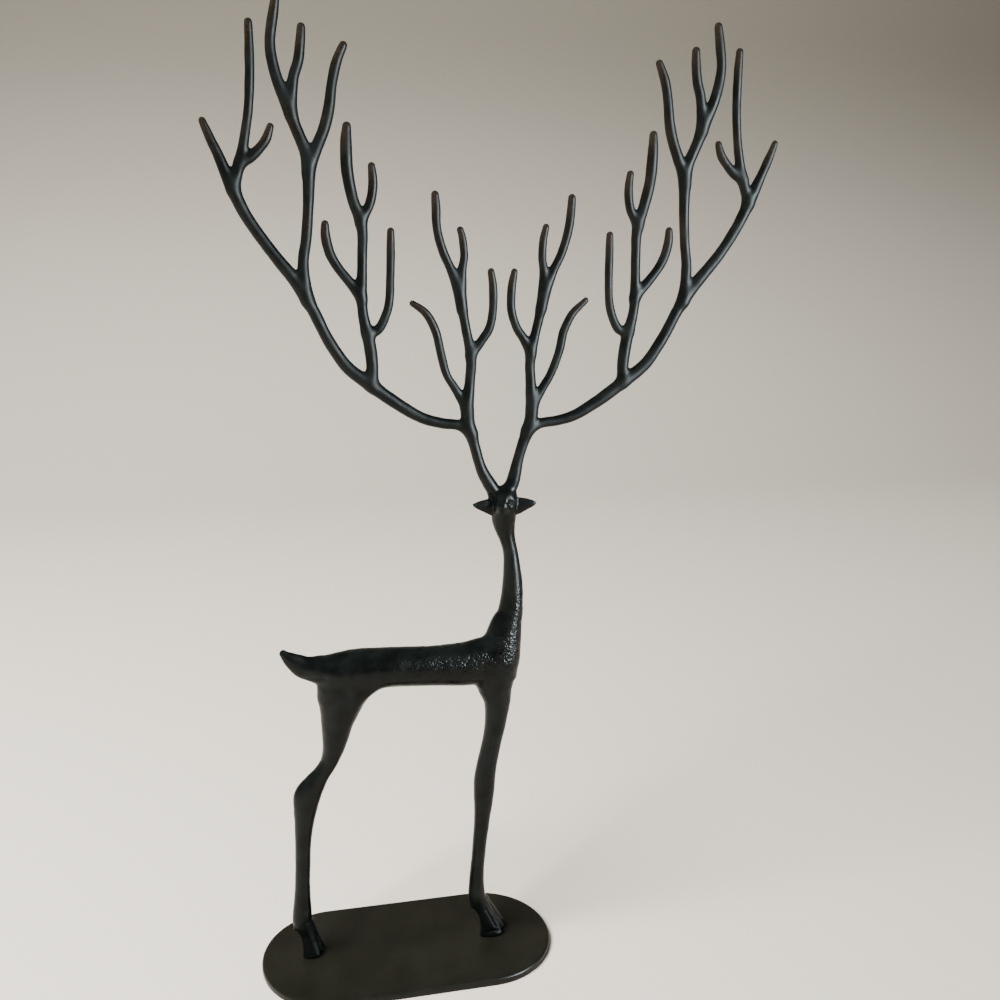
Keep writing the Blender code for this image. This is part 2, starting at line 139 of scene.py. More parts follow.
class Shader:
    """A material's node tree, filled by naming each node's type, settings and inputs."""

    def __init__(self, name: str) -> None:
        """Starts a material with a Principled shader and an output."""
        self.material = bpy.data.materials.new(name)
        self.material.use_nodes = True
        self.nodes = self.material.node_tree.nodes
        self.principled = self.nodes["Principled BSDF"]

    def node(self, kind: str, settings: dict, inputs: dict, output: object = 0) -> Value:
        """Adds one node.

        Args:
            kind: the node's type.
            settings: its properties, set before its sockets.
            inputs: values or links by socket name or number.
            output: the name or number of the socket to give back.

        Returns:
            The output socket, wrapped.
        """
        made = self.nodes.new(kind)
        for key, value in settings.items():
            setattr(made, key, value)
        for key, value in inputs.items():
            self.link(value, made.inputs[key])
        return Value(self, made.outputs[output])

    def link(self, value: object, socket: bpy.types.NodeSocket) -> None:
        """Links a wrapped socket, or sets a number or a colour, on an input socket."""
        if isinstance(value, Value):
            self.material.node_tree.links.new(value.socket, socket)
        elif isinstance(value, tuple) and socket.type == "RGBA":
            socket.default_value = (*value, 1.0)
        else:
            socket.default_value = value

    def finish(self, **values: object) -> bpy.types.Material:
        """Sets the shader's own sockets, named with underscores for spaces, and gives the material."""
        for key, value in values.items():
            self.link(value, self.principled.inputs[key.replace("_", " ")])
        return self.material

    def place(self) -> Value:
        """The place on the object, in metres."""
        return self.node("ShaderNodeTexCoord", {}, {}, "Object")

    def attribute(self, name: str) -> Value:
        """A number that the mesh carries at each point."""
        return self.node("ShaderNodeAttribute", {"attribute_name": name}, {}, "Fac")

    def noise(self, place: Value, scale: float, detail: float = 2.0, rough: float = 0.5) -> Value:
        """Cloudy noise from 0 to 1, its scale in waves to the metre."""
        inputs = {"Vector": place, "Scale": scale, "Detail": detail, "Roughness": rough}
        return self.node("ShaderNodeTexNoise", {}, inputs, "Fac")

    def cells(self, place: Value, scale: float) -> Value:
        """The distance to the nearest of scattered points, softened, in cells."""
        settings = {"feature": "SMOOTH_F1"}
        inputs = {"Vector": place, "Scale": scale, "Smoothness": 0.35}
        return self.node("ShaderNodeTexVoronoi", settings, inputs, "Distance")

    def mix(self, share: object, first: object, second: object) -> Value:
        """A colour between two colours."""
        made = self.nodes.new("ShaderNodeMix")
        made.data_type = "RGBA"
        colours = [socket for socket in made.inputs if socket.type == "RGBA"]
        for value, socket in zip((share, first, second), (made.inputs["Factor"], *colours)):
            self.link(value, socket)
        return Value(self, next(socket for socket in made.outputs if socket.type == "RGBA"))

    def bump(self, height: Value, distance: float, **under: Value) -> Value:
        """A normal turned by a height, given in metres for a height of 1, over another Normal if any."""
        inputs = {"Height": height, "Distance": distance, "Strength": 1.0, **under}
        return self.node("ShaderNodeBump", {}, inputs, "Normal")


@dataclass(frozen=True)
class StagIron:
    """Black semi-gloss paint over rough cast iron, pitted on the body and worn brown at the tips."""

    deep: tuple = (0.0016, 0.0022, 0.0021)
    lifted: tuple = (0.0037, 0.0050, 0.0048)
    worn: tuple = (0.015, 0.0105, 0.0068)
    smooth_roughness: float = 0.27
    rough_roughness: float = 0.40
    satin_adds: float = 0.14
    pits_shine: float = 0.08
    cloud_waves: float = 70.0
    grain_waves: float = 900.0
    grain_height: float = 0.00006
    pit_cells: float = 620.0
    pit_height: float = 0.0004
    lump_waves: float = 260.0
    lump_height: float = 0.0004

    def material(self) -> bpy.types.Material:
        """The finish as a material that reads the mesh's pitting and wear."""
        shader = Shader("stag_iron")
        place = shader.place()
        pitting = shader.attribute("pitting")
        wear = shader.attribute("wear")
        cloud = shader.noise(place, self.cloud_waves, 3.0)
        grain = shader.noise(place, self.grain_waves, 3.0, 0.6)
        lumps = shader.noise(place, self.lump_waves, 2.0)
        pits = shader.cells(place, self.pit_cells)
        tone = shader.mix(cloud.between(0.35, 0.7), self.deep, self.lifted)
        colour = shader.mix(wear * grain.between(0.3, 0.6), tone, self.worn)
        span = self.rough_roughness - self.smooth_roughness
        roughness = self.smooth_roughness + span * cloud.between(0.3, 0.75)
        normal = shader.bump(grain, self.grain_height)
        normal = shader.bump(lumps * pitting, self.lump_height, Normal=normal)
        normal = shader.bump(pits * pitting, self.pit_height, Normal=normal)
        roughness = roughness - self.pits_shine * pitting + self.satin_adds * shader.attribute("satin")
        return shader.finish(Base_Color=colour, Roughness=roughness, Normal=normal, **PAINTED)


@dataclass(frozen=True)
class PlateIron:
    """Satin greenish black paint on the cast plate."""

    deep: tuple = (0.0058, 0.0059, 0.0042)
    lifted: tuple = (0.0088, 0.0089, 0.0066)
    dull: float = 0.36
    polished: float = 0.34
    clouding: float = 0.06
    cloud_waves: float = 28.0
    grain_waves: float = 1100.0
    grain_height: float = 0.00005

    def material(self) -> bpy.types.Material:
        """The finish as a material, a little glossier where the mesh says that the rim is rubbed."""
        shader = Shader("plate_iron")
        place = shader.place()
        cloud = shader.noise(place, self.cloud_waves, 4.0, 0.6)
        grain = shader.noise(place, self.grain_waves, 2.0, 0.6)
        rubbed = shader.attribute("rubbed")
        colour = shader.mix(cloud.between(0.3, 0.75), self.deep, self.lifted)
        roughness = self.dull + (self.polished - self.dull) * rubbed + self.clouding * (cloud - 0.5)
        normal = shader.bump(grain, self.grain_height)
        return shader.finish(Base_Color=colour, Roughness=roughness, Normal=normal, **PAINTED)


# Fields


def refine(stations: object, parts: int) -> Array:
    """Stations smoothed along a cubic curve.

    In words: between two stations runs the cubic that goes through both, and whose slope at each
    is half the way from the station before it to the one after it.

    Args:
        stations: one row a station, of any numbers.
        parts: how many pieces each span is cut into.

    Returns:
        The finer rows, with the last station at the end.
    """
    stations = np.array(stations, float)
    ends = np.vstack([stations[:1], stations, stations[-1:]])[:, None]
    before, start, end, after = ends[:-3], ends[1:-2], ends[2:-1], ends[3:]
    t = (np.arange(parts) / parts)[None, :, None]
    spans = 0.5 * (
        2 * start
        + (end - before) * t
        + (2 * before - 5 * start + 4 * end - after) * t**2
        + (3 * start - before - 3 * end + after) * t**3
    )
    return np.vstack([spans.reshape(-1, stations.shape[1]), stations[-1:]])


def smooth_union(first: Array, second: Array, blend: float) -> Array:
    """Two fields joined with a rounded crease.

    In words: the lesser of the two, lowered by a sixth of the blend times the cube of their
    nearness, which is 1 where they are equal and 0 where they differ by the blend or more.
    """
    near = np.maximum(blend - np.abs(first - second), 0.0) / blend
    return np.minimum(first, second) - near**3 * (blend / 6.0)


def ellipse_distance(offsets: tuple, halves: tuple) -> Array:
    """About how far a point is outside an ellipse or ellipsoid.

    In words: with k the length of the offsets over the half sizes, and g the length of the offsets
    over the squares of the half sizes, the distance is k times k less 1, over g.
    """
    reach = np.sqrt(sum((offset / half) ** 2 for offset, half in zip(offsets, halves)))
    slope = np.sqrt(sum((offset / half**2) ** 2 for offset, half in zip(offsets, halves)))
    return reach * (reach - 1.0) / np.maximum(slope, TINY)


class Form:
    """A solid form with a field of its own."""

    def joined(self, found: Array, x: Array, y: Array, z: Array) -> Array:
        """The field found so far at some points, with this form joined to it."""
        return smooth_union(found, self.distance(x, y, z), self.blend)


@dataclass(frozen=True)
class Sweep(Form):
    """An elliptical profile carried along a path in the plane of the body.

    The path's rows are x, z, half the thickness in the plane and half the depth across it.
    """

    path: Array
    blend: float = 4.0

    def reach(self) -> tuple[Array, Array]:
        """The lowest and highest corner of the room in which the form matters."""
        room = self.path[:, 2:].max() + self.blend + MARGIN
        low, high = self.path[:, :2].min(0) - room, self.path[:, :2].max(0) + room
        return np.array([low[0], -room, low[1]]), np.array([high[0], room, high[1]])

    def distance(self, x: Array, y: Array, z: Array) -> Array:
        """The field at points.

        In words: the nearest point of the path is found in the plane, and the ellipse there, its
        sizes taken between the two stations, gives the distance from the gap in the plane and y.
        """
        nearest = np.full(np.broadcast_shapes(x.shape, z.shape), np.inf)
        high = np.ones_like(nearest)
        deep = np.ones_like(nearest)
        for start, end in zip(self.path[:-1], self.path[1:]):
            along_x, along_z, more_high, more_deep = end - start
            off_x, off_z = x - start[0], z - start[1]
            length = max(along_x**2 + along_z**2, 1e-9)
            t = np.clip((off_x * along_x + off_z * along_z) / length, 0.0, 1.0)
            gap = (off_x - t * along_x) ** 2 + (off_z - t * along_z) ** 2
            closer = gap < nearest
            nearest = np.where(closer, gap, nearest)
            high = np.where(closer, start[2] + t * more_high, high)
            deep = np.where(closer, start[3] + t * more_deep, deep)
        return ellipse_distance((np.sqrt(nearest), y), (high, deep))


@dataclass(frozen=True)
class Loft(Form):
    """An elliptical profile carried along a path in space.

    The path's rows are x, y, z, half height and half width, and the width lies along `across`.
    """

    path: Array
    across: tuple
    blend: float = 2.5

    def reach(self) -> tuple[Array, Array]:
        """The lowest and highest corner of the room in which the form matters."""
        room = self.path[:, 3:].max() + self.blend + MARGIN
        return self.path[:, :3].min(0) - room, self.path[:, :3].max(0) + room

    def distance(self, x: Array, y: Array, z: Array) -> Array:
        """The field at points.

        In words: the nearest point of the path is found in space, and the ellipsoid there gives
        the distance from the offsets along its height, along its width and past the path's end.
        """
        nearest = np.full(np.broadcast_shapes(x.shape, y.shape, z.shape), np.inf)
        found = np.full_like(nearest, FAR)
        for start, end in zip(self.path[:-1], self.path[1:]):
            step = end[:3] - start[:3]
            length = np.linalg.norm(step)
            onwards = step / length
            side = np.array(self.across) - onwards * np.dot(self.across, onwards)
            side /= np.linalg.norm(side)
            lift = np.cross(onwards, side)
            offset = (x - start[0], y - start[1], z - start[2])
            run = sum(o * d for o, d in zip(offset, onwards))
            t = np.clip(run / length, 0.0, 1.0)
            past = run - t * length
            across = sum(o * d for o, d in zip(offset, side))
            up = sum(o * d for o, d in zip(offset, lift))
            gap = across**2 + up**2 + past**2
            high = start[3] + t * (end[3] - start[3])
            wide = start[4] + t * (end[4] - start[4])
            here = ellipse_distance((up, across, past), (high, wide, np.minimum(high, wide)))
            found = np.where(gap < nearest, here, found)
            nearest = np.minimum(gap, nearest)
        return found


@dataclass(frozen=True)
class Crease:
    """A groove along a path, or a ridge where its depth is below nought.

    The path's rows are x, y and z.
    """

    points: tuple
    width: float
    depth: float

    def reach(self) -> tuple[Array, Array]:
        """The lowest and highest corner of the room in which the crease matters."""
        path = np.array(self.points, float)
        return path.min(0) - 3 * self.width, path.max(0) + 3 * self.width

    def joined(self, found: Array, x: Array, y: Array, z: Array) -> Array:
        """The field found so far at some points, with the crease cut into it.

        In words: the depth times the bell curve of the gap to the path over the width is added.
        """
        path = refine(self.points, 4)
        nearest = np.full(np.broadcast_shapes(x.shape, y.shape, z.shape), np.inf)
        for start, end in zip(path[:-1], path[1:]):
            step = end - start
            offset = (x - start[0], y - start[1], z - start[2])
            t = np.clip(sum(o * s for o, s in zip(offset, step)) / max(step @ step, 1e-9), 0.0, 1.0)
            nearest = np.minimum(nearest, sum((o - t * s) ** 2 for o, s in zip(offset, step)))
        return found + self.depth * np.exp(-nearest / self.width**2)


@dataclass(frozen=True)
class Casting:
    """Forms and creases joined into one body in the order given, and cut flat at the sole."""

    steps: list
    sole: float

    def on_grid(self, axes: tuple) -> Array:
        """The field at every point of a grid.

        Args:
            axes: the grid's x, y and z values.

        Returns:
            The field, below nought inside the body.
        """
        found = np.full([len(axis) for axis in axes], FAR, np.float32)
        x, y, z = np.ix_(*axes)
        for step in self.steps:
            at = tuple(slice(*np.searchsorted(axis, ends)) for axis, ends in zip(axes, zip(*step.reach())))
            found[at] = step.joined(found[at], x[at[0]], y[:, at[1]], z[:, :, at[2]])
        return np.maximum(found, self.sole - z)

    def at(self, points: Array) -> Array:
        """The field at loose points, one a row."""
        found = np.full(len(points), FAR)
        for step in self.steps:
            low, high = step.reach()
            index = np.flatnonzero(((points > low) & (points < high)).all(1))
            found[index] = step.joined(found[index], *points[index].T)
        return np.maximum(found, self.sole - points[:, 2])

    def slope(self, points: Array, step: float = 0.2) -> Array:
        """The field's slope at loose points, from its change over a short step each way."""
        moves = np.eye(3) * step
        return np.stack([self.at(points + m) - self.at(points - m) for m in moves], 1) / (2 * step)

    def settle(self, points: Array, rounds: int = 2, most: float = 0.6, flattest: float = 0.05) -> Array:
        """Loose points moved onto the surface.

        In words: each point goes down the slope by the field over the square of the slope's length.
        """
        for _ in range(rounds):
            slope = self.slope(points)
            steep = np.maximum((slope**2).sum(1), flattest)
            move = np.clip(self.at(points) / steep, -most, most)
            points = points - slope * move[:, None]
        return points


def surface_net(found: Array, axes: tuple) -> tuple[Array, Array]:
    """Points and four-cornered faces of a field's surface.

    In words: each cell of the grid that the surface crosses gets one point, at the mean of the
    crossings on its edges, and each grid line that it crosses gets one face, between the four
    cells round it.

    Args:
        found: the field on the grid.
        axes: the grid's x, y and z values.

    Returns:
        The points, and the faces as rows of four point numbers that turn outwards.
    """
    inside = found < 0
    count = np.zeros([n - 1 for n in found.shape], np.int8)
    for corner in CORNERS:
        count += inside[tuple(slice(c, n - 1 + c) for c, n in zip(corner, found.shape))]
    cells = (count > 0) & (count < 8)
    number = np.full(cells.shape, -1, np.int32)
    number[cells] = np.arange(cells.sum())
    cell = np.argwhere(cells)
    total = np.zeros((len(cell), 3))
    crossings = np.zeros(len(cell))
    for corner, axis in product(CORNERS, range(3)):
        if corner[axis]:
            continue
        start = cell + corner
        end = start.copy()
        end[:, axis] += 1
        low, high = found[tuple(start.T)], found[tuple(end.T)]
        cut = np.flatnonzero((low < 0) != (high < 0))
        share = low[cut] / (low[cut] - high[cut])
        place = np.stack([axes[a][start[cut, a]] for a in range(3)], 1)
        place[:, axis] += share * (axes[axis][end[cut, axis]] - place[:, axis])
        total[cut] += place
        crossings[cut] += 1
    faces = []
    for axis in range(3):
        change = np.diff(inside.astype(np.int8), axis=axis)
        edge = np.argwhere(change != 0)
        first, second = np.eye(3, dtype=int)[[a for a in range(3) if a != axis]]
        quad = [edge - first - second, edge - second, edge, edge - first]
        quad = np.stack([number[tuple(corner.T)] for corner in quad], 1)
        turned = (change[tuple(edge.T)] > 0) != (axis == 1)
        quad[turned] = quad[turned][:, ::-1]
        faces.append(quad)
    return total / crossings[:, None], np.vstack(faces)


def without_corner_touches(found: Array, rounds: int = 4) -> Array:
    """The field with the grid squares filled where the body would touch itself only at a corner.

    In words: where two opposite corners of a square are inside and the other two aren't, one of
    those becomes just inside, so that no line of the net is shared by four faces.
    """
    for _ in range(rounds):
        for first, second in ((0, 1), (0, 2), (1, 2)):
            corners = []
            for a, b in product((0, 1), repeat=2):
                at = [slice(None)] * 3
                at[first] = slice(a, a - 1 or None)
                at[second] = slice(b, b - 1 or None)
                corners.append(found[tuple(at)])
            near, right, up, far = corners
            rising = (near < 0) & (far < 0) & (right >= 0) & (up >= 0)
            right[rising] = -JUST_INSIDE
            falling = (right < 0) & (up < 0) & (near >= 0) & (far >= 0)
            near[falling] = -JUST_INSIDE
    return found


class Lattice:
    """Random numbers on a lattice that repeats, for noise that is the same each run."""

    SIZE = 32
    LEAST_DIMPLE = 0.35
    SIZE_SHIFT = 7

    def __init__(self, seed: int) -> None:
        """Draws the numbers from a seed."""
        self.values = np.random.default_rng(seed).random((3, self.SIZE, self.SIZE, self.SIZE))

    def _pick(self, corner: Array, layer: int = 0) -> Array:
        """The number at whole lattice places, one a row."""
        return self.values[(layer, *(corner % self.SIZE).T)]

    def cloud(self, points: Array, wave: float) -> Array:
        """Soft noise from -1 to 1.

        In words: the numbers at the eight lattice places round a point, mixed by its eased shares
        of the way between them along each axis.
        """
        scaled = points / wave
        base = np.floor(scaled).astype(int)
        share = scaled - base
        share = share * share * (3 - 2 * share)
        total = np.zeros(len(points))
        for corner in CORNERS:
            weight = np.prod(np.where(corner, share, 1 - share), axis=1)
            total += weight * self._pick(base + corner)
        return 2 * total - 1

    def dimples(self, points: Array, spacing: float, width: float) -> Array:
        """Scattered round hollows, 1 at the middle of each.

        In words: one middle is placed at random in each cube of the spacing, and the hollow is the
        bell curve of the gap to the nearest middle over the width, times a random size.
        """
        scaled = points / spacing
        base = np.floor(scaled).astype(int)
        deepest = np.zeros(len(points))
        for corner in product((-1, 0, 1), repeat=3):
            cube = base + corner
            middle = cube + np.stack([self._pick(cube, layer) for layer in range(3)], 1)
            gap = ((scaled - middle) ** 2).sum(1) * spacing**2
            size = self.LEAST_DIMPLE + (1 - self.LEAST_DIMPLE) * self._pick(cube + self.SIZE_SHIFT, 1)
            deepest = np.maximum(deepest, size * np.exp(-gap / width**2))
        return deepest


def new_mesh(name: str, points: Array, faces: Array) -> bpy.types.Mesh:
    """A smooth mesh from points in metres and rows of four or three corners."""
    mesh = bpy.data.meshes.new(name)
    sides = faces.shape[1]
    mesh.vertices.add(len(points))
    mesh.vertices.foreach_set("co", points.astype(np.float32).ravel())
    mesh.loops.add(faces.size)
    mesh.loops.foreach_set("vertex_index", faces.astype(np.int32).ravel())
    mesh.polygons.add(len(faces))
    mesh.polygons.foreach_set("loop_start", np.arange(0, faces.size, sides, dtype=np.int32))
    mesh.update(calc_edges=True)
    mesh.validate()
    mesh.shade_smooth()
    return mesh


def set_attribute(mesh: bpy.types.Mesh, name: str, values: Array) -> None:
    """Gives each of a mesh's points a number that its material reads."""
    attribute = mesh.attributes.new(name, "FLOAT", "POINT")
    attribute.data.foreach_set("value", np.clip(values, 0.0, 1.0).astype(np.float32))


def add_piece(mesh: bpy.types.Mesh, material: bpy.types.Material, node: str) -> bpy.types.Object:
    """Puts a finished piece in the scene, in place of a node.

    Args:
        mesh: its mesh, with its place in it and its name.
        material: its finish.
        node: the node that it stands for.

    Returns:
        The piece.
    """
    mesh.materials.clear()
    mesh.materials.append(material)
    piece = bpy.data.objects.new(mesh.name, mesh)
    bpy.context.scene.collection.objects.link(piece)
    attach(piece, "root")
    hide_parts(node)
    mesh.calc_loop_triangles()
    LOG.info("%s: %d triangles", mesh.name, len(mesh.loop_triangles))
    return piece


# The stag


@dataclass(frozen=True)
class Tine:
    """A branch of an antler, drawn as (outwards, up, radius) from the crown's middle.

    A branch with a parent starts on the parent's centre line at that share of its length. The last
    point is the very tip.
    """

    name: str
    parent: str
    share: float
    start_radius: float
    points: tuple


@dataclass(frozen=True)
class Antlers:
    """Two mirrored antlers that spread in the plane of the body."""

    blend: float = 5.5
    parts: int = 5
    tip_clearance: float = 0.3
    # How far a branch leans outwards of its drawing, as (side, name, heights, leans)
    leans: tuple = (
        (-1, "main_stem", (48, 58, 75, 188, 200, 214), (0, 0.9, 0.4, 0, -1, -0.4)),
        (-1, "crooked_tine", (72, 86, 104, 116, 124, 140), (0.8, 1.2, 0.9, 1.5, 2.2, 1.6)),
        (-1, "stem_inner_tip", (150, 160, 170, 180), (0, -1.2, -0.6, 0.2)),
        (-1, "middle_inner_tine", (120, 150, 190), (0.3, 0.8, 0.7)),
        (-1, "middle_stem", (190, 208, 220, 242, 260), (0, 1.7, 1.3, 0.7, 0)),
        (1, "inner_tine", (108, 116, 125, 134), (2.8, 2.6, 1, 0)),
        (1, "crooked_tine", (72, 82, 92, 125, 140), (-0.6, -1.6, 0, 0, -0.8)),
        (1, "beam", (125, 140, 158, 170, 184, 196, 210, 228, 242, 256),
         (0, 1.5, 2.4, 3.2, 2.6, 1.5, 1.6, 2.7, 2, 1.3)),
        (1, "long_tine", (222, 240), (0.8, 0)),
    )
    # How much lower a tip ends than its drawing
    lower_tips: tuple = ((-1, "crooked_tine", 3.0), (-1, "stem_inner_tip", 3.0), (-1, "middle_stem", 2.5))
    tines: tuple = (
        Tine("main_stem", "", 0, 5.6, (
            (4.5, -10, 5), (6.4, -3, 5.2), (9.1, 2, 5.2), (12.4, 10, 4.7), (15.1, 19, 4.15),
            (18.1, 30, 4.1), (20.8, 39, 4.4), (24.3, 55, 4.9), (22.9, 79, 3.9), (22.4, 97, 3.8),
            (27.5, 123, 3.5), (32.8, 146, 3.9), (38, 160, 3.4), (44, 173, 3.2), (48.2, 188, 3.2),
            (49.8, 202, 3.2), (50.3, 214, 2.9))),
        Tine("stem_inner_tip", "main_stem", 0.64, 3, (
            (30.6, 157, 3.2), (29.2, 169, 3), (29.6, 181, 2.9), (32, 193, 2.5))),
        Tine("inner_tine", "main_stem", 0.49, 3, (
            (14, 110.5, 3.4), (9, 119, 3.3), (6.8, 132, 3.2), (6.9, 147, 3.1), (9.1, 161.5, 2.6))),
        Tine("crooked_tine", "main_stem", 0.31, 3, (
            (32.8, 73.5, 3.2), (39.6, 85, 3.1), (44.2, 100.8, 3.2), (47.2, 115.8, 3.3),
            (53.8, 128.8, 3.1), (66, 140.3, 2.2))),
        Tine("beam", "main_stem", 0.235, 3.8, (
            (31, 47, 3.9), (44, 48.9, 3.9), (60, 53.7, 4.2), (80, 66, 4.6), (98, 79.3, 4.9),
            (113.5, 92, 4.5), (126.5, 112, 4.2), (136, 132, 4.3), (147, 150.5, 4.6),
            (164, 172.5, 4.1), (177.8, 192.5, 4.1), (187, 212, 4.4), (194.8, 232, 3.5),
            (199.4, 242, 3.2), (205.2, 256, 2.4))),
        Tine("middle_stem", "beam", 0.285, 4.2, (
            (94.8, 92, 4.4), (96.6, 108, 4.6), (101.2, 131, 3.7), (101.4, 150, 3.7), (100.8, 170, 3.4),
            (100.8, 188, 3.9), (105.2, 206, 4), (109, 224, 4.1), (110, 242, 4),
            (109.8, 259.5, 3))),
        Tine("middle_inner_tip", "middle_stem", 0.64, 3, (
            (94.9, 204, 3.3), (92.8, 217, 3.2), (93.8, 231.5, 2.6))),
        Tine("middle_inner_tine", "middle_stem", 0.215, 3, (
            (90.4, 117, 3.4), (84.9, 126, 3.3), (81.6, 138, 3.1), (80.5, 156, 3), (80.2, 174, 3),
            (80, 188.5, 2.6))),
        Tine("middle_outer_tine", "middle_stem", 0.35, 3.4, (
            (110, 150.5, 3.5), (117.2, 159.5, 3.4), (123, 169.5, 3.5), (125.8, 181, 3.4),
            (126, 192.5, 2.7))),
        Tine("outer_stem", "beam", 0.545, 4.2, (
            (141.5, 161, 3.9), (139, 180, 3.7), (137, 202, 3.8), (136.4, 222, 4.3),
            (138.2, 237, 4.1), (144.2, 252, 4), (149.2, 266, 4.3), (154.8, 280, 3.9),
            (158.2, 294, 3.6), (158.8, 306, 3.4), (156.6, 320, 3.4), (154, 334, 2.8))),
        Tine("outer_middle_tip", "outer_stem", 0.625, 3.2, (
            (144.8, 281, 3.7), (141.2, 293, 3.5), (139.4, 305, 3.3), (138.6, 317, 2.8))),
        Tine("outer_inner_tine", "outer_stem", 0.43, 3.4, (
            (130, 240, 4), (125.2, 251.5, 4), (121.8, 264, 3.8), (119.6, 279, 3.4),
            (116.4, 293, 3.4), (110.2, 307, 2.8))),
        Tine("long_tine", "beam", 0.84, 3.6, (
            (181.2, 228, 3.7), (177.9, 242, 3.4), (174.7, 260, 3.1), (172.8, 280, 3.1),
            (172.2, 300, 3.1), (172.4, 318, 2.5))),
        Tine("hooked_tine", "long_tine", 0.17, 3.2, (
            (175, 231, 3.5), (169, 236.5, 3.3), (163.6, 243.5, 3.2), (159.6, 254, 2.5))),
    )

    @staticmethod
    def at_share(path: Array, share: float) -> Array:
        """The point on a path at a share of its length."""
        steps = np.linalg.norm(np.diff(path[:, :2], axis=0), axis=1)
        run = np.concatenate([[0.0], np.cumsum(steps)])
        return np.array([np.interp(share * run[-1], run, path[:, axis]) for axis in (0, 1)])

    def place(self, side: int, name: str, row: tuple) -> tuple:
        """A drawn (outwards, up, radius) as a sweep's x, z, half thickness and half depth."""
        out, up, radius = row
        forward = np.interp(up, CROWN_RISES, CROWN_SHIFTS)
        for leaning, branch, rises, leans in self.leans:
            if (leaning, branch) == (side, name):
                out += np.interp(up, rises, leans)
        return ANTLERS_X + side * out + forward, CROWN + up, radius, radius

    def paths(self, side: int) -> dict:
        """The path of every branch on one side, by name, each ending a radius short of its tip."""
        found = {}
        for tine in self.tines:
            drop = sum(fall for at, name, fall in self.lower_tips if (at, name) == (side, tine.name))
            *shaft, (out, up, radius) = tine.points
            rows = [self.place(side, tine.name, row) for row in (*shaft, (out, up - drop, radius))]
            if tine.parent:
                start = self.at_share(found[tine.parent], tine.share)
                rows.insert(0, (*start, tine.start_radius, tine.start_radius))
            stations = np.array(rows, float)
            onwards = stations[-1, :2] - stations[-2, :2]
            short = stations[-1, 2] + self.tip_clearance
            stations[-1, :2] -= onwards / np.linalg.norm(onwards) * short
            found[tine.name] = refine(stations, self.parts)
        return found

    def forms(self) -> list:
        """The branches of both antlers."""
        return [Sweep(path, self.blend) for side in SIDES for path in self.paths(side).values()]

    def tips(self) -> Array:
        """The points at the tips of the branches, one a row."""
        ends = [form.path[-1] for form in self.forms()]
        return np.array([(end[0], 0.0, end[1]) for end in ends])


